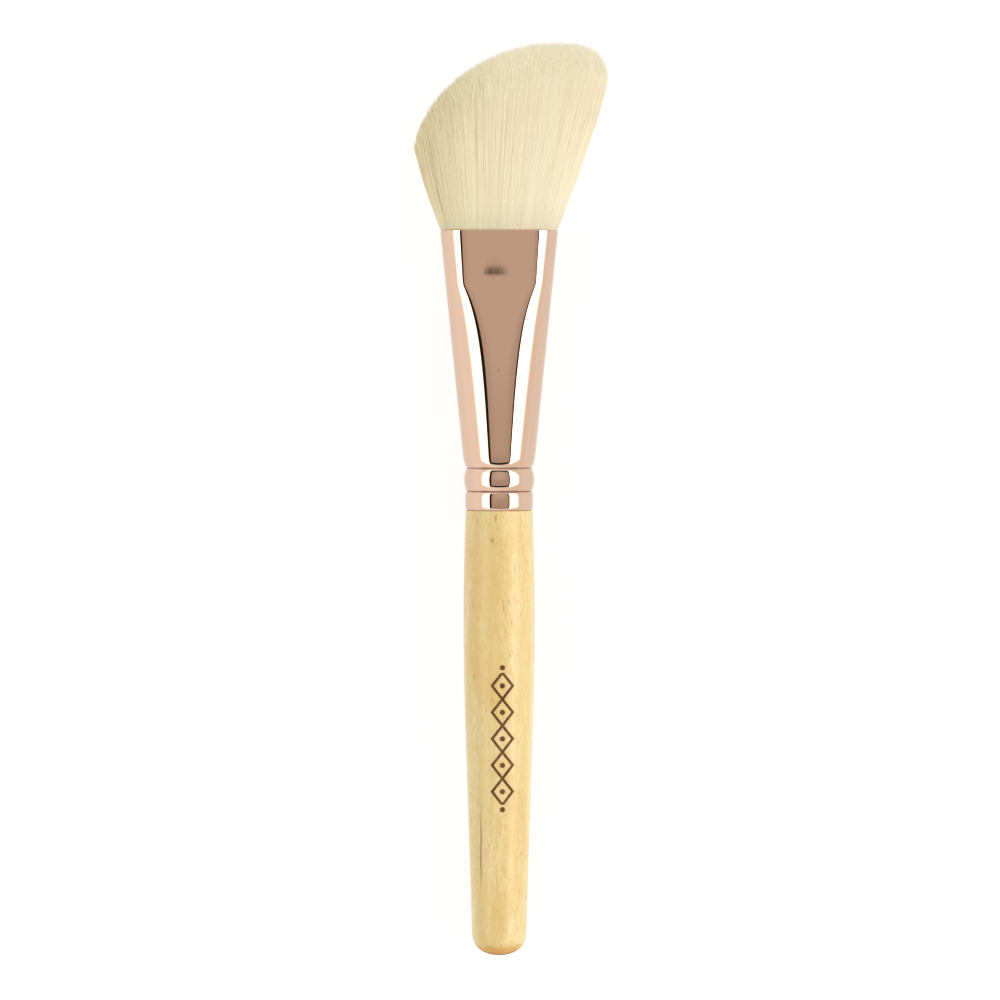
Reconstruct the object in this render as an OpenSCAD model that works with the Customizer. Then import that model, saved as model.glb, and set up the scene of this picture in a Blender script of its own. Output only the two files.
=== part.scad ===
// Angled blush brush with a turned wooden handle, a crimped metal ferrule and a fanned tuft
//
// The brush lies on its back on a flat surface. It runs along Y with the tip of the tuft at +Y,
// the broad face of the tuft looks up, and the long side of the tuft is at +X.
// The origin is on the surface, under the middle of the brush.

/* [Handle] */
// Length of the handle that shows, from the butt to the ferrule
handle_l = 83; // [65:1:120]
// Diameter of the belly, the thickest stretch of the handle
belly_d = 13.26; // [12.8:0.02:16]
// Length of the straight stretch of the belly
belly_l = 6; // [3:0.5:16]
// Distance from the middle of the belly to the ferrule
belly_to_ferrule = 20.5; // [14:0.5:35]
// Diameter of the neck, where the handle meets the ferrule
neck_d = 12.5; // [12.2:0.05:12.7]
// Diameter of the butt just before its round end
butt_d = 10.2; // [8:0.1:12.2]
// Length of the round end of the butt
butt_end_l = 4.6; // [2:0.1:8]
// Length of the tenon inside the ferrule
tenon_l = 20; // [12:0.5:24]
// Diameter of the tenon between its pressed grooves
tenon_d = 11.5; // [10:0.05:11.8]

/* [Ferrule] */
// Length of the ferrule
ferrule_l = 51.7; // [46:0.1:70]
// Thickness of the metal
ferrule_wall = 0.45; // [0.3:0.05:0.6]
// Diameter of the round tube just above the crimps
tube_d = 13.05; // [12.7:0.05:15]
// Diameter at the bottom of the two crimped grooves
groove_d = 12.1; // [11.8:0.05:12.4]
// Largest diameter of the bead between the grooves
bead_d = 13.1; // [12.5:0.05:14.5]
// Length of the bead
bead_l = 4.3; // [3:0.1:7]
// Largest diameter of the band below the bead
band_d = 12.7; // [12.5:0.02:14]
// Length of the band
band_l = 3.5; // [2:0.1:6]
// Length of the round shoulder above the upper groove
shoulder_l = 2; // [1:0.1:5]
// Width of the flattened mouth
mouth_w = 21.9; // [17:0.1:28]
// Thickness of the flattened mouth
mouth_t = 9.2; // [7:0.1:13]
// Width of the flat middle of the mouth
mouth_flat = 10.8; // [4:0.1:15]
// Length of the stretch that is pinched to one flat form below the mouth
pinch_l = 10.2; // [4:0.1:16]

/* [Tuft] */
// Height of the tuft above the mouth at its highest point
tuft_l = 35.1; // [30:0.1:50]
// Thickness of the tuft, before it presses flat where it lies
tuft_t = 13.9; // [12:0.02:16]
// Distance from the handle's axis to the highest point
peak_x = 9.5; // [4:0.1:12]
// Reach of the short side from the handle's axis
short_reach = 16; // [13:0.1:22]
// Height above the mouth where the short side is widest
short_l = 15; // [8:0.1:22]
// Bulge of the crown over the short side
short_bulge = 1.8; // [1.4:0.1:2.6]
// Reach of the long side from the handle's axis
long_reach = 20.15; // [16:0.05:28]
// Height above the mouth where the long side is widest
long_l = 25.5; // [18:0.1:28]
// Bulge of the crown over the long side
long_bulge = 3.1; // [2:0.1:4]
// Height of the dome that rounds the crown over from front to back
dome_l = 6; // [2:0.1:8]
// Length of the root that is held inside the ferrule
root_l = 20; // [12:0.5:22]
// Number of locks of hair round the tuft
locks = 32; // [12:1:48]
// Depth of the furrows between the locks at the tips
lock_depth = 0.16; // [0:0.02:0.4]

/* [Inside] */
// Thickness of the thread that ties the root
thread_d = 0.5; // [0.3:0.05:0.7]
// Turns of thread round the root
thread_turns = 4; // [2:1:7]
// Distance of the tie above the lower end of the root
tie_at = 3; // [2:0.1:6]
// Clearance between pieces that fit in one another
fit_gap = 0.06; // [0.03:0.01:0.12]
// Clearance where a piece seats end to end on another
seat_gap = 0.05; // [0:0.01:0.1]

/* [Hidden] */

// Heights along the brush, from the butt
ferrule_z = handle_l + seat_gap;
mouth_z = ferrule_z + ferrule_l;
overall_l = mouth_z + tuft_l;
tube_h = band_l + bead_l;
pinch_h = ferrule_l - pinch_l;
root_h = ferrule_l - root_l;
tie_l = thread_turns * thread_d;

// Place of the handle's axis
axis_x = (short_reach - long_reach) / 2;
axis_z = belly_d / 2;

// Sides of the sections of the tube and of the tuft, and of the turned handle
tube_sides = 56;
lock_sides = 4;
tuft_sides = lock_sides * locks;
handle_sides = 72;

// Softness of the turn from the flat middle of a section into its round ends
flat_blend = 0.08;
// Degrees by which the sides of a flattened section crowd towards its flat middle
flat_crowd = 24;
// Power with which the flat middle dies out between the pinch and the round tube
flat_ease = 4.9;
// Power of the round edges of the band, and of the round back of the bead
band_power = 4;
bead_power = 2;
// Power with which the shoulder rises out of the upper groove
shoulder_power = 1.7;
// Length and depth of the round edge of the mouth
lip = 0.15;
// The handle's outline is three curves. Each runs between two knots and is drawn by two pulls.
// Radius of the pulls of the butt, and height of the second, as shares of the round end
butt_pull_r = [0.57, 0.975];
butt_pull_h = 0.3;
// Shares of the swell that the first pull has gained, and of the length at the two pulls
taper_swell = 0.5;
taper_pull_h = [0.5, 0.8];
neck_swell = 0.3;
neck_pull_h = [0.2, 0.8];
// Clearance round the root, in fit gaps: its rings lie at other heights than those of the tube
root_slack = 1.5;
// Chamfer of the tenon
tenon_chamfer = 0.8;
// Rise of the hair over the edge of the mouth, and how far it stays in from the metal's face
spill_l = 0.4;
spill_inset = 0.1;

// Curves
function between(a, b, t) = a + (b - a) * t;
function cubic(p, t) =
    p[0] * pow(1 - t, 3) + 3 * p[1] * pow(1 - t, 2) * t + 3 * p[2] * (1 - t) * t * t + p[3] * pow(t, 3);
function curve(p, steps) = [for (i = [1:steps]) cubic(p, i / steps)];
function steps(lo, hi, count) = [for (i = [1:count]) between(lo, hi, i / count)];
function reversed(list) = [for (i = [len(list) - 1:-1:0]) list[i]];
function barrel(h, lo, hi, edge_r, mid_r, power) =
    mid_r - (mid_r - edge_r) * pow(abs(2 * (h - lo) / (hi - lo) - 1), power);

// A flattened section at height z: half width a, half thickness b, half length c of its flat middle
function squared(m) = m * sqrt(1 + flat_blend * flat_blend) / sqrt(m * m + flat_blend * flat_blend);
function across(s, m) = s[2] * squared(m) + (s[0] - s[2]) * m;
function turn(s, k, sides) =
    let (even = 360 * (k + 0.5) / sides)
    even + flat_crowd * min(1, 2 * s[2] / s[0]) * sin(2 * even);
function section(s, z, sides) = [
    for (k = [0:sides - 1])
        let (w = turn(s, k, sides))
        [across(s, cos(w)), s[1] * sin(w), z]
];

// Outer half width of the tube at height h above its lower edge
function tube_line(h) = between(tube_d, mouth_w, (h - tube_h) / (ferrule_l - tube_h)) / 2;
function shoulder_drop(h) =
    (tube_d - groove_d) / 2 * pow(max(0, 1 - (h - tube_h) / shoulder_l), shoulder_power);
function half_w(h) =
    h < band_l ? barrel(h, 0, band_l, groove_d / 2, band_d / 2, band_power)
    : h < tube_h ? barrel(h, band_l, tube_h, groove_d / 2, bead_d / 2, bead_power)
    : tube_line(h) - shoulder_drop(h);

// The girth grows evenly from the round tube to the mouth, and the thickness follows from it
function half_flat(h) =
    mouth_flat / 2 * pow(min(1, max(0, (h - tube_h) / (pinch_h - tube_h))), flat_ease);
function girth_r(w, t, flat) = (w + t + (4 / PI - 1) * flat) / 4;
function half_t(h) =
    h < tube_h ? half_w(h)
    : 2 * between(
        tube_d / 2,
        girth_r(mouth_w, mouth_t, mouth_flat),
        (h - tube_h) / (ferrule_l - tube_h)
    ) - shoulder_drop(h) - tube_line(h) - (4 / PI - 1) * half_flat(h);

// Section of the tube's face at height h, moved in by a distance
function tube(h, inset) = [half_w(h) - inset, half_t(h) - inset, half_flat(h)];
function tube_ring(h, inset) = section(tube(h, inset), ferrule_z + h, tube_sides);

// Heights of the rings, with a number of steps in each stretch of the tube
shoulder_h = tube_h + shoulder_l;
function heights(band, bead, shoulder, body, mouth) = [
    0,
    each steps(0, band_l, band),
    each steps(band_l, tube_h, bead),
    each steps(tube_h, shoulder_h, shoulder),
    each steps(shoulder_h, pinch_h, body),
    each steps(pinch_h, ferrule_l - lip, mouth)
];
inner_heights = heights(2, 4, 2, 6, 1);

// Height of the crown above the mouth at distance x from the axis
function superellipse(r, power) = pow(max(0, 1 - pow(min(1, r), power)), 1 / power);
function crown(x) =
    x < peak_x
    ? between(short_l, tuft_l, superellipse((peak_x - x) / (peak_x + short_reach), short_bulge))
    : between(long_l, tuft_l, superellipse((x - peak_x) / (long_reach - peak_x), long_bulge));

// A point on the hair at place k round the mouth.
// t runs up the hair from the mouth to the foot of the dome, and inward, from 1 to 0, over the dome.
// The soft hair presses flat on the surface that the belly of the handle lies on.
spill = [mouth_w / 2 - spill_inset, mouth_t / 2 - spill_inset, mouth_flat / 2];
function furrow(k) = lock_depth * (1 - cos(360 * k / lock_sides)) / 2;
function hair(k, t, inward) =
    let (
        w = turn(spill, k, tuft_sides),
        root_x = across(spill, cos(w)),
        tip_x = between(-short_reach, long_reach, (root_x / spill[0] + 1) / 2),
        length = crown(tip_x) - spill_l,
        dome = dome_l * abs(sin(w)),
        h = (length - dome) * t + dome * sqrt(1 - inward * inward),
        half = between(spill[1], tuft_t / 2, 1 - pow(1 - t, 2)) - t * furrow(k)
    )
    [between(root_x, tip_x, h / length), min(axis_z, half * sin(w) * inward), mouth_z + spill_l + h];
function hair_ring(t, inward) = [for (k = [0:tuft_sides - 1]) hair(k, t, inward)];

// Solids from rings of points, each ring with the same number of points
function strip(lower, upper, sides) = [
    for (k = [0:sides - 1])
        let (n = (k + 1) % sides)
        each [
            [lower + k, upper + k, upper + n],
            [lower + k, upper + n, lower + n]
        ]
];

// A closed tube: the rings run up one face and down the other, and the last one meets the first
module ring_loop(rings, sides) {
    count = len(rings);
    polyhedron(
        points = [for (ring = rings) each ring],
        faces = [for (i = [0:count - 1]) each strip(i * sides, (i + 1) % count * sides, sides)],
        convexity = 6
    );
}

// A stack with flat ends, each a fan about its middle
module ring_stack(rings, sides) {
    count = len(rings);
    low = count * sides;
    high = low + 1;
    middle = [[0, 0, rings[0][0][2]], [0, 0, rings[count - 1][0][2]]];
    polyhedron(
        points = [each [for (ring = rings) each ring], each middle],
        faces = [
            each [for (i = [0:count - 2]) each strip(i * sides, (i + 1) * sides, sides)],
            for (k = [0:sides - 1]) [low, k, (k + 1) % sides],
            for (k = [0:sides - 1]) [high, low - sides + (k + 1) % sides, low - sides + k]
        ],
        convexity = 4
    );
}

// A stack whose last ring closes on a ridge, where its front and back points meet in pairs
module ridge_stack(rings, ridge, sides) {
    count = len(rings);
    top = count * sides;
    low = top + len(ridge);
    function ridge_at(k) = top + min(k, sides - 1 - k);
    closing = [
        for (k = [0:sides - 1])
            let (n = (k + 1) % sides, here = top - sides)
            each [
                [here + k, ridge_at(k), ridge_at(n)],
                [here + k, ridge_at(n), here + n]
            ]
    ];
    polyhedron(
        points = [each [for (ring = rings) each ring], each ridge, [0, 0, rings[0][0][2]]],
        faces = [
            each [for (i = [0:count - 2]) each strip(i * sides, (i + 1) * sides, sides)],
            for (face = closing) if (face[1] != face[2]) face,
            for (k = [0:sides - 1]) [low, k, (k + 1) % sides]
        ],
        convexity = 4
    );
}

// Lays what is drawn upright down along Y
module laid() {
    translate([axis_x, -overall_l / 2, axis_z]) rotate([-90, 0, 0]) children();
}

// Turned wooden handle: round butt, long taper, belly, neck, and a tenon pressed by the crimps
module handle() {
    belly_top = handle_l - belly_to_ferrule + belly_l / 2;
    belly_low = belly_top - belly_l;
    belly_r = belly_d / 2;
    neck_r = neck_d / 2;
    butt_r = butt_d / 2;
    taper_l = belly_low - butt_end_l;
    neck_l = handle_l - belly_top;

    butt = [
        [0, 0],
        [butt_pull_r[0] * butt_r, 0],
        [butt_pull_r[1] * butt_r, butt_pull_h * butt_end_l],
        [butt_r, butt_end_l]
    ];
    taper = [
        [butt_r, butt_end_l],
        [between(butt_r, belly_r, taper_swell), butt_end_l + taper_pull_h[0] * taper_l],
        [belly_r, butt_end_l + taper_pull_h[1] * taper_l],
        [belly_r, belly_low]
    ];
    neck = [
        [belly_r, belly_top],
        [belly_r, belly_top + neck_pull_h[0] * neck_l],
        [between(neck_r, belly_r, neck_swell), belly_top + neck_pull_h[1] * neck_l],
        [neck_r, handle_l]
    ];
    tenon_top = tenon_l - tenon_chamfer;
    tenon = [
        for (h = [for (h = inner_heights) if (h < tenon_top) h, tenon_top])
            [min(tenon_d / 2, half_t(h) - ferrule_wall - fit_gap), h == 0 ? handle_l : ferrule_z + h]
    ];
    tenon_end = [
        [tenon[len(tenon) - 1][0] - tenon_chamfer, ferrule_z + tenon_l],
        [0, ferrule_z + tenon_l]
    ];

    color("#ecd5a0")
        laid()
            rotate_extrude($fn = handle_sides)
                polygon([
                    [0, 0],
                    each curve(butt, 9),
                    each curve(taper, 14),
                    [belly_r, belly_top],
                    each curve(neck, 8),
                    each tenon,
                    each tenon_end
                ]);
}

// One seamless tube: a band and a bead between two crimps, then a shoulder, then a pinched mouth
module ferrule() {
    outer = [for (h = heights(6, 8, 4, 8, 2)) tube_ring(h, 0), tube_ring(ferrule_l, lip / 2)];
    inner = [for (h = inner_heights) tube_ring(h, ferrule_wall)];
    color("#e3b89c") laid() ring_loop([each outer, each reversed(inner)], tube_sides);
}

// Bundle of filaments: a tied root inside the ferrule, and a fanned, slanted and domed head
module tuft() {
    waist = thread_d + fit_gap;
    lead = thread_d;
    tie_h = root_h + tie_at;
    root = [
        [root_h, 0],
        [tie_h - lead, 0],
        [tie_h, waist],
        [tie_h + tie_l, waist],
        [tie_h + tie_l + lead, 0],
        [pinch_h, 0],
        [ferrule_l, 0]
    ];
    gap = ferrule_wall + root_slack * fit_gap;
    head_steps = 6;
    dome_steps = 6;
    rings = [
        for (r = root) section(tube(r[0], gap + r[1]), ferrule_z + r[0], tuft_sides),
        for (i = [0:head_steps]) hair_ring(i / head_steps, 1),
        for (i = [1:dome_steps - 1]) hair_ring(1, cos(90 * i / dome_steps))
    ];
    ridge = [for (k = [0:tuft_sides / 2 - 1]) hair(k, 1, 0)];
    color("#f1e6c4") laid() ridge_stack(rings, ridge, tuft_sides);
}

// Turns of thread wound round the waist of the root
module root_tie() {
    tie_h = root_h + tie_at;
    gap = ferrule_wall + 2 * fit_gap;
    outer = [
        for (i = [0:2 * thread_turns])
            tube_ring(tie_h + i * thread_d / 2, gap + (i % 2 == 0 ? thread_d / 3 : 0))
    ];
    inner = [for (h = [tie_h, tie_h + tie_l]) tube_ring(h, gap + thread_d - fit_gap / 2)];
    color("#d9d2c0") laid() ring_loop([each outer, each reversed(inner)], tube_sides);
}

// Set glue that fills the ferrule between the tenon and the root
module glue_plug() {
    low = tenon_l + seat_gap;
    high = root_h - seat_gap;
    rings = [for (h = [low, each steps(low, high, 4)]) tube_ring(h, ferrule_wall + fit_gap)];
    color("#d8b770") laid() ring_stack(rings, tube_sides);
}

handle();
ferrule();
tuft();
root_tie();
glue_plug();
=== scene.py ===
import math

import bpy
import numpy as np
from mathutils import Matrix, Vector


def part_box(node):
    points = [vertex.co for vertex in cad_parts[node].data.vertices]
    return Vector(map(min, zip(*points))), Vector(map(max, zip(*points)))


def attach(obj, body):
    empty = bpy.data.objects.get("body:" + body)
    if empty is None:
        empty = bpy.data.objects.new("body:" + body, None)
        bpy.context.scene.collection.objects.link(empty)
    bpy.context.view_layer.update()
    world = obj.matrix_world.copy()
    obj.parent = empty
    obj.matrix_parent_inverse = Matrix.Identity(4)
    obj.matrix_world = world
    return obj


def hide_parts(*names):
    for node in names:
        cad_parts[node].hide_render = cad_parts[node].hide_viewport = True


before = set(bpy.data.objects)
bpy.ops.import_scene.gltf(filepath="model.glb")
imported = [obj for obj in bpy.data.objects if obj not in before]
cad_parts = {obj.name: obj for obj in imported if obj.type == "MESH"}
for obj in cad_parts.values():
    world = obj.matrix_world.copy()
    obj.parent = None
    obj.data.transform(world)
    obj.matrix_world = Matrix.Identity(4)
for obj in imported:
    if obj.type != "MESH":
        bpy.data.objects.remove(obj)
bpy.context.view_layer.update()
print("frame loaded")

mm = 0.001
weld = 1e-6     # points that lie closer than this are one
tiny = 1e-6     # least value of what is divided by
handleLow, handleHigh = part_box("handle")
ferruleLow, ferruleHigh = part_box("ferrule")
tuftLow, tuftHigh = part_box("tuft")

# Where the brush lies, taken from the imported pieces
brush = {
    "axisX": (handleLow.x + handleHigh.x) / 2,
    "axisZ": (handleLow.z + handleHigh.z) / 2,
    "buttY": handleLow.y,
    "seamY": ferruleLow.y,
    "mouthY": ferruleHigh.y,
    "tipY": tuftHigh.y,
    "bellyR": (handleHigh.x - handleLow.x) / 2,
}


# Shader maths: a wire carries a socket, and an expression on wires adds its nodes

class Wire:
    def __init__(self, paint, socket):
        self.paint = paint
        self.socket = socket

    def math(self, operation, *others):
        inputs = dict(enumerate([self, *others]))
        return self.paint.add("ShaderNodeMath", {"operation": operation}, inputs)

    def __add__(self, other):
        return self.math("ADD", other)

    def __sub__(self, other):
        return self.math("SUBTRACT", other)

    def __mul__(self, other):
        return self.math("MULTIPLY", other)

    def __truediv__(self, other):
        return self.math("DIVIDE", other)

    def __pow__(self, other):
        return self.math("POWER", other)

    def __rsub__(self, other):
        return self.paint.add("ShaderNodeMath", {"operation": "SUBTRACT"}, {0: other, 1: self})


class Paint:
    def __init__(self, tree):
        self.tree = tree
        tree.nodes.clear()

    def add(self, kind, settings=None, inputs=None, output=0):
        node = self.tree.nodes.new(kind)
        for key, value in (settings or {}).items():
            setattr(node, key, value)
        for key, value in (inputs or {}).items():
            if isinstance(value, Wire):
                self.tree.links.new(value.socket, node.inputs[key])
            else:
                node.inputs[key].default_value = value
        return Wire(self, node.outputs[output]) if len(node.outputs) else None

    def parts(self, vector):
        node = self.add("ShaderNodeSeparateXYZ", inputs={0: vector}).socket.node
        return [Wire(self, socket) for socket in node.outputs]

    def place(self, stretch=(1, 1, 1), shift=(0, 0, 0)):
        spot = self.add("ShaderNodeTexCoord", output="Object")
        return self.add("ShaderNodeMapping", inputs={
            "Vector": spot, "Location": shift, "Scale": stretch,
        })

    # The stretch gives how many blotches lie in a metre along each axis
    def noise(self, stretch, detail=2.0, roughness=0.5, distortion=0.0, shift=(0, 0, 0)):
        return self.add("ShaderNodeTexNoise", inputs={
            "Vector": self.place(stretch, shift), "Scale": 1.0, "Detail": detail,
            "Roughness": roughness, "Distortion": distortion,
        })

    def ease(self, value, low, high, start=0.0, end=1.0):
        return self.add("ShaderNodeMapRange", {"interpolation_type": "SMOOTHSTEP"}, {
            "Value": value, "From Min": low, "From Max": high, "To Min": start, "To Max": end,
        })

    def window(self, value, low, high, soft):
        rise = self.ease(value, low - soft, low + soft)
        return rise * self.ease(value, high - soft, high + soft, 1.0, 0.0)

    def mix(self, amount, first, second, blend="MIX"):
        return self.add("ShaderNodeMix", {"data_type": "RGBA", "blend_type": blend}, {
            "Factor": amount, 6: first, 7: second,
        }, output=2)

    def bump(self, height, distance, strength=1.0):
        return self.add("ShaderNodeBump", inputs={
            "Height": height, "Distance": distance, "Strength": strength,
        })


def newMaterial(name, fixed, wired):
    material = bpy.data.materials.new(name)
    material.use_nodes = True
    paint = Paint(material.node_tree)
    inputs = dict(fixed)
    inputs.update(wired(paint))
    surface = paint.add("ShaderNodeBsdfPrincipled", inputs=inputs)
    paint.add("ShaderNodeOutputMaterial", inputs={"Surface": surface})
    return material


# Small modelling helpers

def deselectAll():
    if bpy.context.object and bpy.context.object.mode != "OBJECT":
        bpy.ops.object.mode_set(mode="OBJECT")
    bpy.ops.object.select_all(action="DESELECT")


def namePiece(name):
    piece = bpy.context.object
    piece.name = name
    piece.data.name = name
    return piece


def cleanMesh(piece, smoothAngle):
    deselectAll()
    bpy.context.view_layer.objects.active = piece
    piece.select_set(True)
    bpy.ops.object.mode_set(mode="EDIT")
    bpy.ops.mesh.select_all(action="SELECT")
    bpy.ops.mesh.remove_doubles(threshold=weld)
    bpy.ops.mesh.normals_make_consistent(inside=False)
    bpy.ops.object.mode_set(mode="OBJECT")
    bpy.ops.object.shade_smooth_by_angle(angle=math.radians(smoothAngle))


def dress(piece, material, node=None):
    piece.data.materials.clear()
    piece.data.materials.append(material)
    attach(piece, "root")
    if node:
        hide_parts(node)


# Wraps a grid round a stack of sections, given as rows of points in the frame
def wrapGrid(name, rows, smoothAngle):
    count, around = rows.shape[:2]
    deselectAll()
    bpy.ops.mesh.primitive_grid_add(x_subdivisions=around, y_subdivisions=count - 1, size=1)
    piece = namePiece(name)
    closed = np.concatenate([rows, rows[:, :1]], axis=1)
    piece.data.vertices.foreach_set("co", closed.reshape(-1).astype(np.float32))
    piece.data.update()
    cleanMesh(piece, smoothAngle)
    return piece


# The handle: a bezier outline turned about the brush's axis

handleTurning = {
    "butt": 5.1 * mm,           # radius before the round end
    "buttEnd": 4.2 * mm,        # length of the round end
    "bellyMiddle": 62.5 * mm,   # from the butt
    "bellyLength": 6 * mm,
    "neck": 6.25 * mm,
    "visible": 83 * mm,
    "tenon": 5.5 * mm,
    # where the curve's handles lie, as shares of the stretch between two points
    "buttPull": (0.56, 0.32),
    "taperPull": (0.5, 0.8),
    "taperSwell": 0.5,
    "bellyPull": 1 / 3,
    "neckPull": (0.2, 0.8),
    "neckSwell": 0.3,
    "steps": 16,
    "around": 128,
    "smooth": 35,
}


def turnHandle():
    form = handleTurning
    butt, buttEnd, neckR = form["butt"], form["buttEnd"], form["neck"]
    belly = brush["bellyR"]
    bellyLow = form["bellyMiddle"] - form["bellyLength"] / 2
    bellyTop = form["bellyMiddle"] + form["bellyLength"] / 2
    bellyPull = form["bellyPull"] * form["bellyLength"]
    taper = bellyLow - buttEnd
    neck = form["visible"] - bellyTop
    end = handleHigh.y - handleLow.y

    def share(a, b, part):
        return a + (b - a) * part

    # each row: point, handle towards the butt, handle towards the tip
    outline = [
        ((0, 0), (0, 0), (form["buttPull"][0] * butt, 0)),
        (
            (butt, buttEnd),
            (butt, form["buttPull"][1] * buttEnd),
            (share(butt, belly, form["taperSwell"]), buttEnd + form["taperPull"][0] * taper),
        ),
        (
            (belly, bellyLow),
            (belly, buttEnd + form["taperPull"][1] * taper),
            (belly, bellyLow + bellyPull),
        ),
        (
            (belly, bellyTop),
            (belly, bellyTop - bellyPull),
            (belly, bellyTop + form["neckPull"][0] * neck),
        ),
        (
            (neckR, form["visible"]),
            (share(neckR, belly, form["neckSwell"]), bellyTop + form["neckPull"][1] * neck),
            (neckR, form["visible"]),
        ),
        ((form["tenon"], form["visible"]),) * 3,
        ((form["tenon"], end),) * 3,
        ((0, end),) * 3,
    ]
    deselectAll()
    bpy.ops.curve.primitive_bezier_curve_add(radius=mm)
    curve = bpy.context.object.data
    curve.resolution_u = form["steps"]
    spline = curve.splines[0]
    spline.bezier_points.add(len(outline) - 2)
    for knot, spots in zip(spline.bezier_points, outline):
        knot.handle_left_type = "FREE"
        knot.handle_right_type = "FREE"
        for target, (radius, along) in zip(("co", "handle_left", "handle_right"), spots):
            setattr(knot, target, (radius, brush["buttY"] + along, 0))
    bpy.ops.object.convert(target="MESH")
    piece = namePiece("turnedHandle")
    screw = piece.modifiers.new("turn", "SCREW")
    screw.axis = "Y"
    screw.steps = form["around"]
    screw.render_steps = form["around"]
    screw.use_merge_vertices = True
    screw.merge_threshold = weld
    bpy.ops.object.modifier_apply(modifier=screw.name)
    piece.location = (brush["axisX"], 0, brush["axisZ"])
    bpy.ops.object.transform_apply(location=True, rotation=True, scale=True)
    cleanMesh(piece, form["smooth"])
    return piece


beech = {
    "pale": (0.80, 0.645, 0.325),
    "green": (0.70, 0.565, 0.237),
    "warm": (0.712, 0.478, 0.166),
    "pore": (0.57, 0.37, 0.12),
    "fleck": (0.44, 0.20, 0.07),
    "line": (0.25, 0.11, 0.03),
    "endGrain": (0.64, 0.33, 0.06),
    "burnt": (0.10, 0.03, 0.005),
}
# Each pattern: stretch, detail, roughness, distortion and shift
beechGrain = {
    "clouds": ((150, 48, 150), 3, 0.55, 0.3, (0.3, 0.4, 0.2)),
    "growth": ((330, 22, 330), 3, 0.5, 0.4),
    "mottle": ((1500, 360, 1500), 2, 0.6, 0, (1, 2, 5)),
    "fine": ((3000, 260, 3000), 3, 0.65),
    "pores": ((3200, 900, 3200), 2, 0.7, 0, (2, 9, 4)),
    "specks": ((1800, 480, 1800), 1, 0.4, 0, (3, 7, 1)),
    "scatter": ((280, 90, 280), 1, 0.4, 0, (5, 1, 2)),
    "wander": ((0, 70, 0), 1, 0.4),
}
# The stained end of the butt, and painted shade along its rim where it turns under
stainedEnd = {
    "fade": (1.5 * mm, 2.8 * mm),
    "ragged": 2.4 * mm,
    "rimShade": (0.9 * mm, 2.4 * mm),
    "rimShadeRagged": 0.8 * mm,
    "rimShadeTurn": 0.35,           # how fast the painted rim shade ends away from the sides
}
# A burnt border in line with the handle: a chain of lozenges with a dot in each and at each end
border = {
    "middleX": 0.6 * mm,        # to the right of the handle's axis
    "low": 28.8 * mm,           # from the butt
    "count": 5,
    "pitch": 4.9 * mm,
    "halfWidth": 1.9 * mm,
    "stroke": 0.25 * mm,
    "dot": 0.5 * mm,
    "endDot": 0.9 * mm,         # from the chain's end to the middle of the dot
    "soft": 0.05 * mm,
}
# One dark line in the grain near the butt
grainLine = {
    "x": -3.35 * mm,
    "low": 11 * mm,
    "high": 30 * mm,
    "half": 0.18 * mm,
    "wander": 1.6 * mm,
}


def paintBorder(paint, x, y, z):
    form = border
    halfLength = form["pitch"] / 2
    length = form["count"] * form["pitch"]
    soft = form["soft"]
    u = (x - (brush["axisX"] + form["middleX"])).math("ABSOLUTE")
    v = y - (brush["buttY"] + form["low"])
    inCell = v.math("WRAP", form["pitch"], 0.0) - halfLength
    lean = math.hypot(1 / form["halfWidth"], 1 / halfLength)
    edge = (u * (1 / form["halfWidth"]) + inCell.math("ABSOLUTE") * (1 / halfLength) - 1) * (1 / lean)
    outline = paint.ease(edge.math("ABSOLUTE"), form["stroke"] - soft, form["stroke"] + soft, 1.0, 0.0)
    chain = outline * paint.window(v, 0, length, soft)

    def dot(away):
        reach = (u * u + away * away).math("SQRT")
        return paint.ease(reach, form["dot"] - soft, form["dot"] + soft, 1.0, 0.0)

    beyond = (v - length / 2).math("ABSOLUTE") - (length / 2 + form["endDot"])
    inner = dot(inCell) * paint.window(v, 0, length, soft)
    marks = chain.math("MAXIMUM", inner).math("MAXIMUM", dot(beyond))
    return marks * z.math("GREATER_THAN", brush["axisZ"])


def paintGrainLine(paint, x, y, z, wander):
    form = grainLine
    aside = (x - (brush["axisX"] + form["x"]) + (wander - 0.5) * form["wander"]).math("ABSOLUTE")
    line = paint.ease(aside, form["half"] * 0.3, form["half"], 1.0, 0.0)
    middle = brush["buttY"] + (form["low"] + form["high"]) / 2
    fade = (form["high"] - form["low"]) / 2
    line *= paint.ease((y - middle).math("ABSOLUTE"), 0.2 * fade, fade, 1.0, 0.0)
    return line * z.math("GREATER_THAN", brush["axisZ"])


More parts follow.
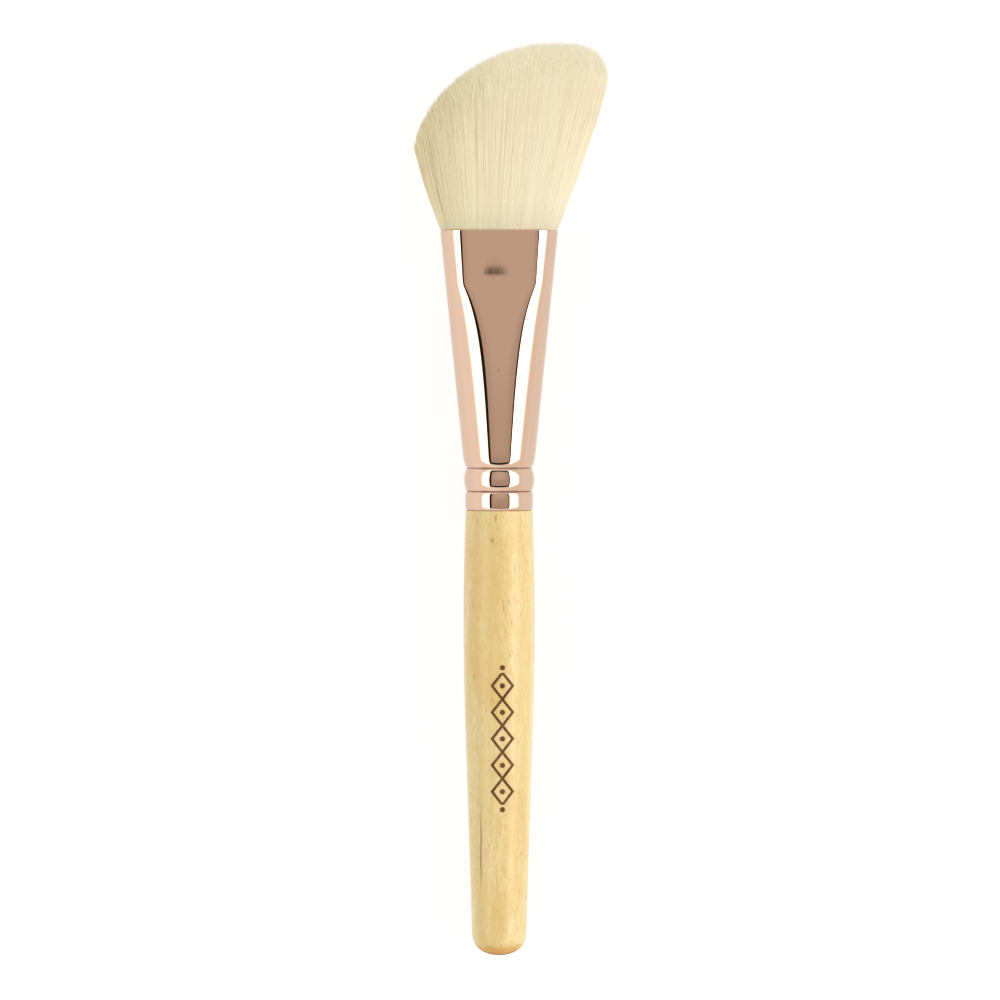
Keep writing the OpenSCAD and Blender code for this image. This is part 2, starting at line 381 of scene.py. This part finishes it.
def paintBeech(paint):
    x, y, z = paint.parts(paint.place())
    grain = {name: paint.noise(*pattern) for name, pattern in beechGrain.items()}
    fine, growth, mottle = grain["fine"], grain["growth"], grain["mottle"]

    def stain(colour, amount, name):
        return paint.mix(amount, colour, (*beech[name], 1))

    colour = paint.mix(paint.ease(growth, 0.35, 0.65), (*beech["pale"], 1), (*beech["green"], 1))
    colour = stain(colour, paint.ease(grain["clouds"], 0.42, 0.68) * 0.8, "warm")
    colour = stain(colour, paint.ease(mottle, 0.4, 0.72) * 0.65, "warm")
    colour = stain(colour, paint.ease(fine, 0.45, 0.72) * 0.5, "green")
    colour = stain(colour, paint.ease(grain["pores"], 0.5, 0.7) * 0.42, "pore")
    fleck = paint.ease(grain["specks"], 0.68, 0.76) * paint.ease(grain["scatter"], 0.48, 0.6)
    colour = stain(colour, fleck * 0.7, "fleck")
    colour = stain(colour, paintGrainLine(paint, x, y, z, grain["wander"]) * 0.85, "line")
    form = stainedEnd
    fromButt = y - brush["buttY"]
    end = paint.ease(fromButt + (mottle - 0.5) * form["ragged"], *form["fade"], 1.0, 0.0)
    under = (z - brush["axisZ"]).math("ABSOLUTE") * form["rimShadeTurn"]
    # painted shade: the butt's rim darkens where it turns under, reaching furthest at the sides
    rimShade = paint.ease(fromButt + under + (fine - 0.5) * form["rimShadeRagged"], *form["rimShade"], 1.0, 0.0)
    colour = stain(colour, end * paint.ease(growth, 0.3, 0.7, 1.0, 0.8), "endGrain")
    colour = stain(colour, rimShade, "line")
    mark = paintBorder(paint, x, y, z)
    scorch = paint.ease(fine * 0.6 + growth * 0.4, 0.3, 0.62, 0.86, 1.0)
    colour = stain(colour, mark * scorch, "burnt")
    height = fine * 0.6 - fleck * 0.4 - mark * 2.0
    return {
        "Base Color": colour,
        "Roughness": paint.ease(fine, 0.3, 0.7, 0.4, 0.52) + mark * 0.3 + rimShade * 0.45,
        "Coat Weight": (1 - mark) * (1 - end) * (1 - rimShade) * 0.7,
        "Normal": paint.bump(height, 0.03 * mm, 0.5),
    }


handle = turnHandle()
beechWood = newMaterial("paleBeech", {"Coat Roughness": 0.3, "Specular IOR Level": 0.3}, paintBeech)
dress(handle, beechWood, "handle")
print("handle turned")


# The ferrule: one seamless tube, crimped at the handle and pinched at the mouth.
# A section is half the width, half the thickness and half the flat between the round ends.

ferruleTube = {
    "wall": 0.45 * mm,
    "tube": 13.05 * mm,
    "groove": 12.2 * mm,
    "bead": 13.1 * mm,
    "beadLength": 4.3 * mm,
    "band": 12.7 * mm,
    "bandLength": 3.5 * mm,
    "bandPower": 4,             # how flat the band is between its edges
    "beadPower": 2,
    "shoulder": 2 * mm,
    "shoulderPower": 1.7,
    "mouthWidth": 21.9 * mm,
    "mouthThickness": 9.2 * mm,
    "mouthFlat": 10.8 * mm,
    "pinch": 10.2 * mm,
    "lip": 0.15 * mm,
    "creaseDepth": 0.07 * mm,   # the sharp bottom of each crimped groove
    "creaseHalf": 0.16 * mm,
    "creaseRings": 9,           # on each side of a crease, this far apart
    "creaseStep": 0.04 * mm,
    "blend": 0.08,              # softness of the turn from the flat into the round ends
    "ease": 4.9,                # how fast the flat dies out below the pinch
    "crowd": 24,                # degrees by which the sides crowd towards the flat
    "pinchPower": 24,           # how short the turn into the pinched flat is
    "around": 200,
    "lipAngles": (30, 60, 90),
    "smooth": 32,
}
grooveHeights = (ferruleTube["bandLength"], ferruleTube["bandLength"] + ferruleTube["beadLength"])
ferruleLength = brush["mouthY"] - brush["seamY"]


# A share from -1 to 1 that changes fast about 0, so that it lays out the flat
def squared(m):
    soft = ferruleTube["blend"]
    return m * math.sqrt(1 + soft * soft) / np.sqrt(m * m + soft * soft)


# How far across a section a point lies, where m is the cosine of its turn
def across(section, m):
    return section[2] * squared(m) + (section[0] - section[2]) * m


# The turns of a section's points, closer together where the flat is
def turns(section, count):
    even = 2 * math.pi * (np.arange(count) + 0.5) / count
    crowd = math.radians(ferruleTube["crowd"]) * min(1, 2 * section[2] / section[0])
    return even + crowd * np.sin(2 * even)


def crease(h):
    depth, half = ferruleTube["creaseDepth"], ferruleTube["creaseHalf"]
    return depth * sum(math.exp(-((h - groove) / half) ** 2) for groove in grooveHeights)


# The section at height h above the seam with the handle, that far inside the outer face
def tubeSection(h, inset):
    form = ferruleTube
    bandTop, crimps = grooveHeights
    grooveR, tubeR = form["groove"] / 2, form["tube"] / 2
    if h < crimps:
        low, high, middle, power = 0, bandTop, form["band"] / 2, form["bandPower"]
        if h > bandTop:
            low, high, middle, power = bandTop, crimps, form["bead"] / 2, form["beadPower"]
        radius = middle - (middle - grooveR) * abs(2 * (h - low) / (high - low) - 1) ** power
        radius -= crease(h) + inset
        return radius, radius, 0
    rise = (h - crimps) / (ferruleLength - crimps)
    drop = (tubeR - grooveR) * max(0, 1 - (h - crimps) / form["shoulder"]) ** form["shoulderPower"]
    drop += crease(h)
    line = tubeR + (form["mouthWidth"] / 2 - tubeR) * rise
    reach = ((h - crimps) / (ferruleLength - form["pinch"] - crimps)) ** form["ease"]
    flat = form["mouthFlat"] / 2 * reach
    flat /= (1 + reach ** form["pinchPower"]) ** (1 / form["pinchPower"])
    # how much more a flat adds to the girth than a round end as wide does
    excess = 4 / math.pi - 1
    girth = (form["mouthWidth"] + form["mouthThickness"] + excess * form["mouthFlat"]) / 4
    thick = 2 * (tubeR + (girth - tubeR) * rise) - drop - line - excess * flat
    return line - drop - inset, thick - inset, flat


def ringAt(section, y, count):
    w = turns(section, count)
    x = brush["axisX"] + across(section, np.cos(w))
    z = brush["axisZ"] + section[1] * np.sin(w)
    return np.stack([x, np.full(count, y), z], axis=1)


def formFerrule():
    form = ferruleTube
    length = ferruleLength
    shoulder = grooveHeights[1] + form["shoulder"]
    marks = [0, *grooveHeights, shoulder, length - form["pinch"], length - form["lip"]]
    # how many rings there are up to each mark
    outerSteps = [18, 20, 12, 70, 14]
    innerSteps = [4, 6, 3, 14, 2]
    beside = range(-form["creaseRings"], form["creaseRings"] + 1)

    def heights(steps):
        spans = [np.linspace(a, b, n + 1)[1:] for a, b, n in zip(marks, marks[1:], steps)]
        return np.concatenate([[0], *spans])

    fine = [groove + form["creaseStep"] * k for groove in grooveHeights for k in beside]
    outer = sorted({round(float(h), 8) for h in [*heights(outerSteps), *fine]})
    rows = [ringAt(tubeSection(h, 0), brush["seamY"] + h, form["around"]) for h in outer]
    for angle in np.radians(form["lipAngles"]):
        inset = form["lip"] * (1 - math.cos(angle))
        h = length - form["lip"] * (1 - math.sin(angle))
        rows.append(ringAt(tubeSection(h, inset), brush["seamY"] + h, form["around"]))
    inner = [length, *heights(innerSteps)[::-1]]
    rows += [ringAt(tubeSection(h, form["wall"]), brush["seamY"] + h, form["around"]) for h in inner]
    rows.append(rows[0])
    return wrapGrid("platedFerrule", np.array(rows), form["smooth"])


roseGold = {
    "metal": (0.70, 0.488, 0.365),
    "shade": (0.22, 0.10, 0.065),   # painted shade at the bottom of the crimped grooves
    "shadeHalf": 0.2 * mm,
}


def paintRoseGold(paint):
    y = paint.parts(paint.place())[1]
    away = [(y - (brush["seamY"] + groove)).math("ABSOLUTE") for groove in grooveHeights]
    half = roseGold["shadeHalf"]
    # painted shade: the base colour darkens towards each crimped groove
    shade = paint.ease(away[0].math("MINIMUM", away[1]), 0.25 * half, half, 1.0, 0.0)
    drawn = paint.noise((2200, 60, 2200), 2, 0.5)
    haze = paint.noise((90, 90, 90), 3, 0.6)
    return {
        "Base Color": paint.mix(shade * 0.8, (*roseGold["metal"], 1), (*roseGold["shade"], 1)),
        "Roughness": paint.ease(haze * 0.7 + drawn * 0.3, 0.35, 0.7, 0.015, 0.04) + shade * 0.2,
        "Normal": paint.bump(drawn, 0.001 * mm, 0.12),
    }


ferrule = formFerrule()
plating = newMaterial("roseGoldPlate", {"Metallic": 1.0}, paintRoseGold)
dress(ferrule, plating, "ferrule")
print("ferrule formed")


# The tuft: filaments fan from the mouth to a slanted crown that is domed from front to back

tuftFan = {
    "shortReach": -15.7 * mm,
    "shortHeight": 15 * mm,
    "shortBulge": 1.8,
    "longReach": 20.15 * mm,
    "longHeight": 25.5 * mm,
    "longBulge": 3.5,
    "peak": 9.5 * mm,
    "thickness": 13.9 * mm,
    "dome": 6 * mm,
    "shortBow": 0.35 * mm,      # how far the sides bow out between mouth and crown
    "longBow": 0.5 * mm,
    "spill": 0.4 * mm,          # rise of the hair over the edge of the mouth
    "spillInset": 0.1 * mm,
    "locks": 1400,              # small locks that the filaments lean into
    "lean": (0.12, 0.42),       # how far, at the long and at the short side
    "seed": 7,
}
tuftHeight = brush["tipY"] - brush["mouthY"]
mouthHair = (
    ferruleTube["mouthWidth"] / 2 - tuftFan["spillInset"],
    ferruleTube["mouthThickness"] / 2 - tuftFan["spillInset"],
    ferruleTube["mouthFlat"] / 2,
)
# A table of m and of how far across the mouth it lies, to look m up
mTable = np.sin(np.linspace(-math.pi / 2, math.pi / 2, 801))
xTable = across(mouthHair, mTable)


def superellipse(r, power):
    return np.maximum(0, 1 - np.minimum(1, r) ** power) ** (1 / power)


def crownHeight(x):
    fan = tuftFan
    peak = fan["peak"]
    toShort = np.maximum(0, peak - x) / (peak - fan["shortReach"])
    toLong = np.maximum(0, x - peak) / (fan["longReach"] - peak)
    short = superellipse(toShort, fan["shortBulge"])
    long = superellipse(toLong, fan["longBulge"])
    return np.where(
        x < peak,
        fan["shortHeight"] + (tuftHeight - fan["shortHeight"]) * short,
        fan["longHeight"] + (tuftHeight - fan["longHeight"]) * long,
    )


# Half the tuft's thickness at its middle, at part t of the way up to the dome
def halfThickness(t):
    return mouthHair[1] + (tuftFan["thickness"] / 2 - mouthHair[1]) * (1 - (1 - t) ** 2)


# Place on the hair that leaves the mouth at p across and q through it, both -1 to 1,
# at part f of its length
def hairPlace(p, q, f, extra=0.0):
    fan = tuftFan
    rootX = p * mouthHair[0]
    m = np.interp(rootX, xTable, mTable)
    side = np.sqrt(np.maximum(tiny, 1 - m * m))
    inward = np.minimum(1, np.abs(q) / side)
    tipX = fan["shortReach"] + (fan["longReach"] - fan["shortReach"]) * (p + 1) / 2
    length = crownHeight(tipX) - fan["spill"]
    dome = fan["dome"] * side
    h = (length - dome + dome * np.sqrt(1 - inward * inward) + extra) * f
    t = np.clip(h / (length - dome), 0, 1)
    bow = np.where(p > 0, fan["longBow"], -fan["shortBow"]) * p * p
    bow = bow * np.sin(math.pi * np.clip(h / length, 0, 1))
    x = brush["axisX"] + rootX + (tipX - rootX) * h / length + bow
    y = brush["mouthY"] + fan["spill"] + h
    z = brush["axisZ"] + halfThickness(t) * side * inward * np.sign(q)
    return np.stack([x, y, np.maximum(z, 0)], axis=-1)


hairCore = {
    "around": 128,
    "rings": 16,
    "domeRings": 12,
    "under": 0.45 * mm,         # how far the core lies under the outer filaments
    "lower": 1.2 * mm,          # how far it ends below the crown
    "narrow": 0.94,             # share of the mouth's width
    "inFerrule": (4 * mm, 0.6 * mm),
    "ferruleGap": 0.65 * mm,
    "low": 0.015,               # parts of the filaments' length
    "high": 0.95,
    "top": 0.98,
    "smooth": 60,
}


def formCore():
    form = hairCore
    w = turns(mouthHair, form["around"])
    p = across(mouthHair, np.cos(w)) / mouthHair[0] * form["narrow"]
    rows = []
    for down in form["inFerrule"]:
        section = tubeSection(ferruleLength - down, form["ferruleGap"])
        rows.append(ringAt(section, brush["mouthY"] - down, form["around"]))
    for f in np.linspace(form["low"], form["high"], form["rings"]):
        q = np.sin(w) * (1 - form["under"] / halfThickness(f))
        rows.append(hairPlace(p, q, f, -form["lower"]))
    for angle in np.linspace(0, math.pi / 2, form["domeRings"] + 1)[1:]:
        f = form["high"] + (form["top"] - form["high"]) * math.sin(angle)
        rows.append(hairPlace(p, q * math.cos(angle), f, -form["lower"]))
    return wrapGrid("tuftCore", np.array(rows), form["smooth"])


def nearestLock(p, q):
    step = 500      # filaments that are looked up at a time
    found = []
    for i in range(0, len(p), step):
        asideP = (p[i:i + step, None] - lockP) * 2
        asideQ = q[i:i + step, None] - lockQ
        found.append(np.argmin(asideP ** 2 + asideQ ** 2, axis=1))
    return np.concatenate(found)


# One filament, with lengths in millimetres
strand = {
    "radius": 0.062,
    "thinner": 0.03,            # how much less the radius is at the tip
    "thickness": (0.75, 1.2),   # least and most, as shares of the radius
    "wander": (0.13, 0.03, 0.06),   # how far its tip strays in x, y and z
    "strays": 0.06,             # share of the filaments that wander further
    "strayReach": 2.2,
    "shorter": 0.4,             # how far it ends below the crown, on average
    "shortest": 3.0,
    "proud": 0.04,              # share that stands out of the crown, and how far
    "proudReach": 0.4,
    "wave": 0.07,
    "waves": (0.5, 1.2),        # least and most over its length
    "leanPower": 1.6,           # the lean into a lock grows towards the tip
    "lowest": 0.03,             # over the ground
    "lockTint": 0.15,           # share of the tint that a whole lock has
    "near": 0.02,               # part of the length that shows which way it goes
}
# Parts of the length at which a filament starts and has its rings, the last its pointed end
rimHair = {
    "count": 10000,
    "depth": 0.09,              # how far in from the outline they stand
    "tuck": 0.2,                # share of it by which they stand in from the sides
    "flatRun": (6, 60),         # how fast the outline runs on the flat, and how soon that ends
    "endWeight": 1.6,           # how much thicker they stand on the round ends
    "start": -0.012,
    "steps": (0.2, 0.4, 0.6, 0.8, 0.97, 1),
    "scatter": 3.5,             # millimetres over which their ends are spread
}
crownHair = {
    "count": 17000,
    "reach": 0.97,              # how far out towards the edge of the mouth
    "start": 0.68,
    "steps": (0.93, 1),
    "scatter": 0.5,
}


# Models one upright filament of radius 1 and height 1, and gives its points and faces
def modelStrand(steps):
    deselectAll()
    bpy.ops.mesh.primitive_circle_add(vertices=3, radius=1, fill_type="NGON")
    bpy.ops.object.mode_set(mode="EDIT")
    bpy.ops.mesh.select_all(action="SELECT")
    for low, high in zip((0, *steps), steps):
        bpy.ops.mesh.extrude_region_move(TRANSFORM_OT_translate={"value": (0, 0, high - low)})
    bpy.ops.mesh.merge(type="CENTER")
    bpy.ops.mesh.select_all(action="SELECT")
    bpy.ops.mesh.normals_make_consistent(inside=False)
    bpy.ops.object.mode_set(mode="OBJECT")
    model = bpy.context.object
    points = np.empty(len(model.data.vertices) * 3, np.float32)
    model.data.vertices.foreach_get("co", points)
    faces = [tuple(face.vertices) for face in model.data.polygons]
    bpy.data.objects.remove(model)
    return points.reshape(-1, 3), faces


# Lays a copy of the filament at each p and q, leaning into its lock
def layStrands(name, p, q, kind, random):
    form = strand
    base, faces = modelStrand(kind["steps"])
    count, size = len(p), len(base)
    fraction = base[:, 2]
    low, high = tuftFan["lean"]
    lean = (low + (high - low) * (1 - p[:, None]) / 2) * fraction[None] ** form["leanPower"]
    lock = nearestLock(p, q)
    stray = random.normal(0, 1, (count, 3))
    stray *= np.where(random.random(count) < form["strays"], form["strayReach"], 1)[:, None]
    m = np.interp(p * mouthHair[0], xTable, mTable)
    shorter = np.minimum(random.exponential(form["shorter"], count), form["shortest"]) * mm
    shorter += random.random(count) * kind["scatter"] * mm * np.sqrt(1 - m * m)
    proud = random.random(count) < form["proud"]
    extra = np.where(proud, random.random(count) * form["proudReach"] * mm, -shorter)[:, None]
    start = np.full((count, 1), kind["start"])
    f = start + (1 - start) * fraction[None]
    p = p[:, None] + (lockP[lock] - p)[:, None] * lean
    q = q[:, None] + (lockQ[lock] - q)[:, None] * lean
    spots = hairPlace(p, q, f, extra)
    spots += stray[:, None, :] * np.array(form["wander"]) * mm * (f ** 2)[:, :, None]
    phase = random.random((count, 1))
    phase = f * random.uniform(*form["waves"], (count, 1)) + phase
    spots[:, :, 0] += form["wave"] * mm * f * np.sin(2 * math.pi * phase)
    spots[:, :, 2] = np.maximum(spots[:, :, 2], form["lowest"] * mm)

    # each ring stands square to the filament's way there
    near = form["near"]
    ahead = hairPlace(p, q, np.minimum(1, f + near), extra) - hairPlace(p, q, f - near, extra)
    ahead /= np.linalg.norm(ahead, axis=2, keepdims=True)
    sideways = np.cross(ahead, [0, 0, 1.0])
    sideways /= np.linalg.norm(sideways, axis=2, keepdims=True)
    upward = np.cross(sideways, ahead)
    turn = random.random(count)[:, None] * 2 * math.pi
    a = base[None, :, 0] * np.cos(turn) - base[None, :, 1] * np.sin(turn)
    b = base[None, :, 0] * np.sin(turn) + base[None, :, 1] * np.cos(turn)
    radius = (form["radius"] - form["thinner"] * fraction ** 3) * mm
    radius = radius * random.uniform(*form["thickness"], count)[:, None]
    points = spots + (sideways * a[:, :, None] + upward * b[:, :, None]) * radius[:, :, None]

    joined = [tuple(v + i * size for v in face) for i in range(count) for face in faces]
    mesh = bpy.data.meshes.new(name)
    mesh.from_pydata(points.reshape(-1, 3).tolist(), [], joined)
    mesh.polygons.foreach_set("use_smooth", np.ones(len(mesh.polygons), bool))
    tint = random.random(count) * (1 - form["lockTint"]) + lockTint[lock] * form["lockTint"]
    for title, values in (("tint", np.repeat(tint, size)), ("along", f.reshape(-1))):
        attribute = mesh.attributes.new(title, "FLOAT", "POINT")
        attribute.data.foreach_set("value", values.astype(np.float32))
    piece = bpy.data.objects.new(name, mesh)
    bpy.context.scene.collection.objects.link(piece)
    print(name, len(joined), "faces")
    return piece


filament = {
    "cream": (0.752, 0.662, 0.478),
    "bright": (0.78, 0.71, 0.55),
    "brown": (0.52, 0.42, 0.24),
    "tip": (0.80, 0.75, 0.585),     # the pointed ends are paler, partly in tone and partly painted light that brightens the crown
    "shortSideShade": (0.91, 0.90, 0.80),      # painted shade: share of the colour kept at the short side
    "shortSideShadeSpan": (-15 * mm, 5 * mm),
    "body": 0.82,                   # share of the colour kept as base colour, beside the painted glow
    "glow": 0.42,                   # painted light: the filaments glow with their own colour, in place of light passing on through them
}


# 1 at the short side of the tuft, and 0 past its middle
def shortSide(paint):
    x = paint.parts(paint.place())[0]
    return paint.ease(x - brush["axisX"], *filament["shortSideShadeSpan"], 1.0, 0.0)


def litShare(paint, colour):
    body = filament["body"]
    return paint.mix(1.0, colour, (body, body, body, 1), "MULTIPLY")


def paintFilament(paint):
    tint = paint.add("ShaderNodeAttribute", {"attribute_name": "tint"}, output="Fac")
    along = paint.add("ShaderNodeAttribute", {"attribute_name": "along"}, output="Fac")
    short = shortSide(paint)
    colour = paint.mix(paint.ease(tint, 0.05, 0.95), (*filament["cream"], 1), (*filament["bright"], 1))
    # paler towards the pointed ends: partly painted light that brightens the crown, less of it at the
    # short side
    pale = paint.ease(along, 0.85, 1.0) * (1 - short * 0.5)
    colour = paint.mix(pale * 0.7, colour, (*filament["tip"], 1))
    # a few filaments are brown; more of them towards the short side, where the extra brown is painted
    # shade for the gaps between them
    brown = paint.ease(tint + short * 0.22, 0.98, 1.04)
    colour = paint.mix(brown * 0.8, colour, (*filament["brown"], 1))
    # painted shade: the short side of the tuft is darker, as if less lit
    colour = paint.mix(short, colour, (*filament["shortSideShade"], 1), "MULTIPLY")
    return {"Base Color": litShare(paint, colour), "Emission Color": colour}


def paintCore(paint):
    streak = paint.noise((2400, 60, 2400), 3, 0.6)
    colour = paint.mix(paint.ease(streak, 0.3, 0.7), (*filament["cream"], 1), (*filament["bright"], 1))
    # painted shade at the short side, as on the filaments
    colour = paint.mix(shortSide(paint), colour, (*filament["shortSideShade"], 1), "MULTIPLY")
    # painted shade: the core is half brown, for the depths between the filaments
    colour = paint.mix(0.5, colour, (*filament["brown"], 1))
    return {
        "Base Color": litShare(paint, colour),
        "Emission Color": colour,
        "Normal": paint.bump(streak, 0.1 * mm),
    }


random = np.random.default_rng(tuftFan["seed"])


# Spots spread over the mouth, up to a share of the way out to its edge
def spread(count, reach):
    tries = count * 3
    p = random.uniform(-1, 1, tries)
    q = random.uniform(-1, 1, tries)
    m = np.interp(p * mouthHair[0], xTable, mTable)
    kept = np.abs(q) / np.sqrt(np.maximum(tiny, 1 - m * m)) <= reach
    return p[kept][:count], q[kept][:count]


lockP, lockQ = spread(tuftFan["locks"], 1)
lockTint = random.random(len(lockP))


# Spots along the mouth's edge, thicker where the outline runs faster with the angle w
def rim(form):
    tries = form["count"] * 4
    w = random.uniform(0, 2 * math.pi, tries)
    width, thickness, flat = mouthHair
    fast, soon = form["flatRun"]
    speed = np.hypot(
        np.sin(w) * (flat * fast / (1 + soon * np.cos(w) ** 2) + width - flat),
        thickness * np.cos(w) * form["endWeight"],
    )
    w = w[random.random(tries) < speed / speed.max()][:form["count"]]
    inward = 1 - random.random(len(w)) * form["depth"]
    p = across(mouthHair, np.cos(w)) / width * (1 - (1 - inward) * form["tuck"])
    return p, np.sin(w) * inward


print("laying filaments")
# painted light: filaments and core glow with their own colour
hairFixed = {"Roughness": 0.6, "Specular IOR Level": 0.3, "Emission Strength": filament["glow"]}
filamentGloss = newMaterial("creamFilament", hairFixed, paintFilament)
coreHair = newMaterial("filamentDepth", hairFixed, paintCore)
core = formCore()
dress(core, coreHair, "tuft")

rimP, rimQ = rim(rimHair)
for name, chosen in (("frontFilaments", rimQ > 0), ("backFilaments", rimQ <= 0)):
    strands = layStrands(name, rimP[chosen], rimQ[chosen], rimHair, random)
    dress(strands, filamentGloss, "tuft")
crownP, crownQ = spread(crownHair["count"], crownHair["reach"])
strands = layStrands("crownFilaments", crownP, crownQ, crownHair, random)
dress(strands, filamentGloss, "tuft")
print("tuft fanned")


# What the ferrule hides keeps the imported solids, with a dark and a light colour each

hiddenColours = {
    "thread": ((0.62, 0.57, 0.48, 1), (0.82, 0.78, 0.69, 1)),
    "glue": ((0.55, 0.36, 0.13, 1), (0.72, 0.52, 0.24, 1)),
}


def paintThread(paint):
    twist = paint.noise((900, 2400, 900), 2, 0.5)
    return {"Base Color": paint.mix(twist, *hiddenColours["thread"])}


def paintGlue(paint):
    cloud = paint.noise((220, 220, 220), 3, 0.6)
    return {"Base Color": paint.mix(cloud, *hiddenColours["glue"])}


for node, slotName, material in (
    ("root_tie", "tie_thread", newMaterial("waxedThread", {"Roughness": 0.7}, paintThread)),
    ("glue_plug", "set_glue", newMaterial("amberGlue", {"Roughness": 0.3}, paintGlue)),
):
    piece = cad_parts[node]
    piece.data.materials.clear()
    piece.data.materials.append(material)


# The white ground, the studio round it and the camera

studio = {
    "left": (1.16, 1.15, 1.15),         # walls, as the sides of the metal mirror them
    "right": (1.03, 1.0, 0.96),
    "panel": (0.73, 0.65, 0.597),       # the dark board above, with the camera's opening
    "panelEdge": (0.578, 0.486, 0.423),
    "leftBox": 3.0,
    "rightBox": 4.4,
    "leftFill": 0.7,                    # share of the side light that matt surfaces get
    "rightFill": 0.94,
    "flag": 0.55,                       # what metal mirrors low down beyond the tip and the butt
    "frame": 0.015,
    # Areas in degrees from straight up: span towards +X, span towards +Y, softness of the
    # low and the high edge across, and of the edges along
    "frameArea": ((-33, 36.2), (-30.5, 38), (0.4, 0.4), 0.5),
    "boardArea": ((-25.6, 32.4), (-24.5, 33), (1.0, 0.8), 0.8),
    "brightArea": ((-18, 23.2), (0.8, 46), (14, 12), 5),
    "leftBoxArea": ((-58, -32.5), (-33.5, 41), (5, 0.5), 1.5),
    "rightBoxArea": ((36.4, 65), (-33.5, 41), (0.5, 7), 1.5),
    "lens": (-0.25, 4.5),               # middle of the camera's opening in the board
    "lensHalf": (0.6, 0.14),
    "wallFade": (-20, 20),              # from the left wall's colour to the right one's
    "fillFade": (-50, 20),
    # The flag ends where a mirrored direction points this far along X or this high
    "flagAside": (0.5, 0.85),
    "flagHeight": (0.1, 0.45),
}


def lightStudio():
    world = bpy.data.worlds.new("studio")
    bpy.context.scene.world = world
    world.use_nodes = True
    paint = Paint(world.node_tree)
    direction = paint.add("ShaderNodeTexCoord", output="Generated")
    x, y, z = paint.parts(direction)
    across = x.math("ARCTAN2", z) * (180 / math.pi)
    along = y.math("ARCTAN2", z) * (180 / math.pi)

    def shade(name):
        colour = studio[name]
        return (*colour, 1) if isinstance(colour, tuple) else (colour, colour, colour, 1)

    def area(name):
        (low, high), spanAlong, (lowSoft, highSoft), soft = studio[name]
        rise = paint.ease(across, low - lowSoft, low + lowSoft)
        fall = paint.ease(across, high - highSoft, high + highSoft, 1.0, 0.0)
        return rise * fall * paint.window(along, *spanAlong, soft)

    lensX, lensY = studio["lens"]
    halfX, halfY = studio["lensHalf"]
    spot = ((across - lensX) * (1 / halfX)) ** 2.0 + ((along - lensY) * (1 / halfY)) ** 2.0
    board = paint.mix(area("brightArea"), shade("panelEdge"), shade("panel"))
    board = paint.mix(paint.ease(spot, 0.2, 1.4, 0.95, 0.0), board, shade("frame"))
    colour = paint.mix(paint.ease(across, *studio["wallFade"]), shade("left"), shade("right"))
    colour = paint.mix(area("leftBoxArea"), colour, shade("leftBox"))
    colour = paint.mix(area("rightBoxArea"), colour, shade("rightBox"))
    colour = paint.mix(area("frameArea"), colour, shade("frame"))
    colour = paint.mix(area("boardArea"), colour, board)
    mirrored = paint.add("ShaderNodeLightPath", output="Is Glossy Ray")
    fill = paint.ease(across, *studio["fillFade"], studio["leftFill"], studio["rightFill"])
    level = (x * x + y * y).math("SQRT")
    aside = x.math("ABSOLUTE") / (level + 0.001)
    beyond = paint.ease(aside, *studio["flagAside"], 1.0, 0.0)
    low = paint.ease(z, *studio["flagHeight"], 1.0, 0.0)
    flag = 1 - beyond * low * (1 - studio["flag"])
    strength = mirrored * flag + (1 - mirrored) * fill
    light = paint.add("ShaderNodeBackground", inputs={"Color": colour, "Strength": strength})
    paint.add("ShaderNodeOutputWorld", inputs={"Surface": light})


whiteGround = {
    "size": 3,
    "drop": 0.05 * mm,          # below the brush
    "glow": 0.88,
    "halfFade": 60 * mm,        # the glow fades from left to right over twice this
}


def paintGround(paint):
    x = paint.parts(paint.place())[0]
    grain = paint.noise((60, 60, 60), 2, 0.5)
    half = whiteGround["halfFade"]
    return {
        "Base Color": paint.mix(grain, (0.19, 0.19, 0.19, 1), (0.21, 0.21, 0.21, 1)),
        "Emission Color": paint.mix(paint.ease(x, -half, half), (1, 1, 1, 1), (0.9, 0.9, 0.9, 1)),
    }


def layGround():
    deselectAll()
    bpy.ops.mesh.primitive_plane_add(size=whiteGround["size"], location=(0, 0, -whiteGround["drop"]))
    ground = namePiece("ground")
    bpy.ops.object.transform_apply(location=True)
    material = newMaterial("whiteGround", {
        "Roughness": 0.9, "Specular IOR Level": 0.2, "Emission Strength": whiteGround["glow"],
    }, paintGround)
    ground.data.materials.append(material)


view = {
    "pixel": 0.186 * mm,       # size of a pixel of the picture at the brush's axis
    "frame": 1000,             # pixels across the picture
    "distance": 500 * mm,
    "sensor": 36,
    "clip": 10 * mm,
    "lean": 1.5,               # degrees from straight down, towards the tip
    "axisColumn": 499.15,      # column of the brush's axis in the picture
    "buttRow": 956.4,          # row of the butt's end in the picture
}


def setCamera():
    half = view["frame"] / 2
    target = np.array([
        brush["axisX"] + (half - view["axisColumn"]) * view["pixel"],
        brush["buttY"] + (view["buttRow"] - half) * view["pixel"],
        brush["axisZ"],
    ])
    lean = math.radians(view["lean"])
    place = target + view["distance"] * np.array([0, math.sin(lean), math.cos(lean)])
    bpy.ops.object.camera_add(location=place, rotation=(-lean, 0, 0))
    camera = bpy.context.object
    camera.data.sensor_width = view["sensor"]
    camera.data.lens = view["sensor"] * view["distance"] / (view["frame"] * view["pixel"])
    camera.data.clip_start = view["clip"]
    bpy.context.scene.camera = camera


lightStudio()
layGround()
setCamera()
bpy.context.scene.view_settings.view_transform = "Standard"
print("studio lit")
